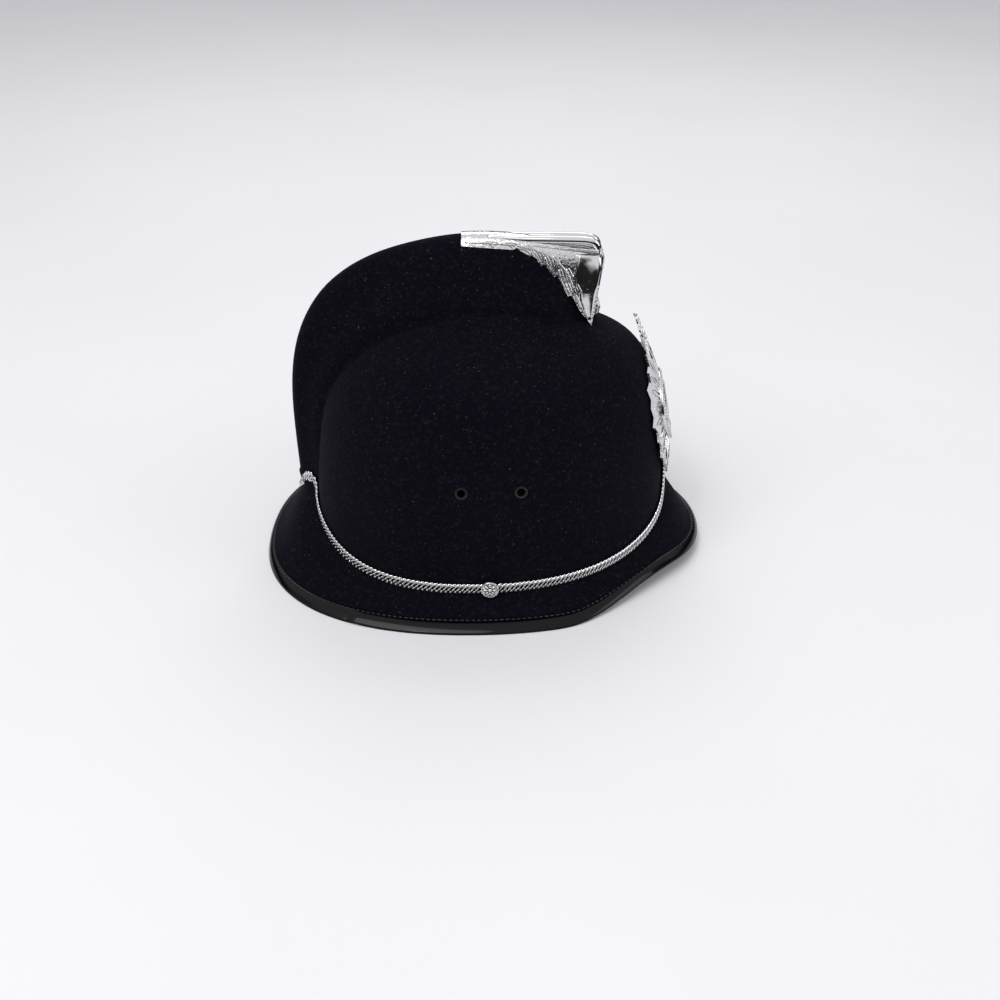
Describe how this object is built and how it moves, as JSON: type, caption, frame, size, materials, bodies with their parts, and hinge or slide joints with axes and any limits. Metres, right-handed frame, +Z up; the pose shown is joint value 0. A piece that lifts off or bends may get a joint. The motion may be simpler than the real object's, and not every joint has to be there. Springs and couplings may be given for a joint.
{
  "type": "custodian helmet",
  "caption": "Felt-covered custodian helmet with a raised comb, chrome comb end, chain band, star plate and swinging chin strap.",
  "frame": {"origin": "on the surface the brim stands on, under the middle of the helmet's outline", "axes": "+X to the front of the helmet, +Y to the wearer's left, +Z up"},
  "size_m": [0.3034, 0.2454, 0.22],
  "materials": {
    "felt": "brushed wool felt",
    "patent_leather": "glossy patent",
    "lining_cloth": "glazed cotton",
    "chrome": "polished",
    "brass": "plain turned",
    "black_enamel": "black enamel",
    "foam": "expanded beads",
    "headband_plastic": "moulded",
    "tan_leather": "smooth grain",
    "cork": "ground cork",
    "webbing": "woven tape",
    "pad_cloth": "cloth over foam",
    "black_leather": "finished strap leather",
    "nickel_steel": "nickel plated"
  },
  "bodies": {
    "helmet": {"felt_shell": "felt", "brim_binding": "patent_leather", "brim_lining": "lining_cloth", "chain_band": "chrome", "side_rosettes": "chrome", "stud_sleeves": "brass", "stud_washers": "brass", "vent_eyelets": "black_enamel", "comb_end": "chrome", "comb_end_nuts": "brass", "helmet_plate": "chrome", "plate_nuts": "brass", "plate_roundel": "chrome", "plate_finial": "chrome", "impact_liner": "foam", "headband": "headband_plastic", "sweatband": "tan_leather", "headband_spacers": "cork", "cradle_strap_long": "webbing", "cradle_straps_cross": "webbing", "cradle_rivets": "brass", "crown_pad": "pad_cloth", "crown_button": "brass"},
    "chin_strap": {"chin_strap_long": "black_leather", "chin_strap_short": "black_leather", "buckle_frame": "nickel_steel"},
    "prong": {"buckle_prong": "nickel_steel"},
    "keeper": {"strap_keeper": "black_leather"}
  },
  "joints": [
    {"name": "strap_swing", "type": "hinge", "parent": "helmet", "child": "chin_strap", "pos_m": [0.0055, 0, 0.0185], "axis": [0, 1, 0], "range_deg": [0, 95]},
    {"name": "buckle_prong_swing", "type": "hinge", "parent": "chin_strap", "child": "prong", "pos_m": [0.08346, -0.05684, 0.01017], "axis": [-0.1063, 0, -0.9943], "range_deg": [0, 80]},
    {"name": "keeper_slide", "type": "slide", "parent": "chin_strap", "child": "keeper", "axis": [0.8819, 0.4619, -0.0942], "range_m": [-0.006, 0.006]}
  ]
}
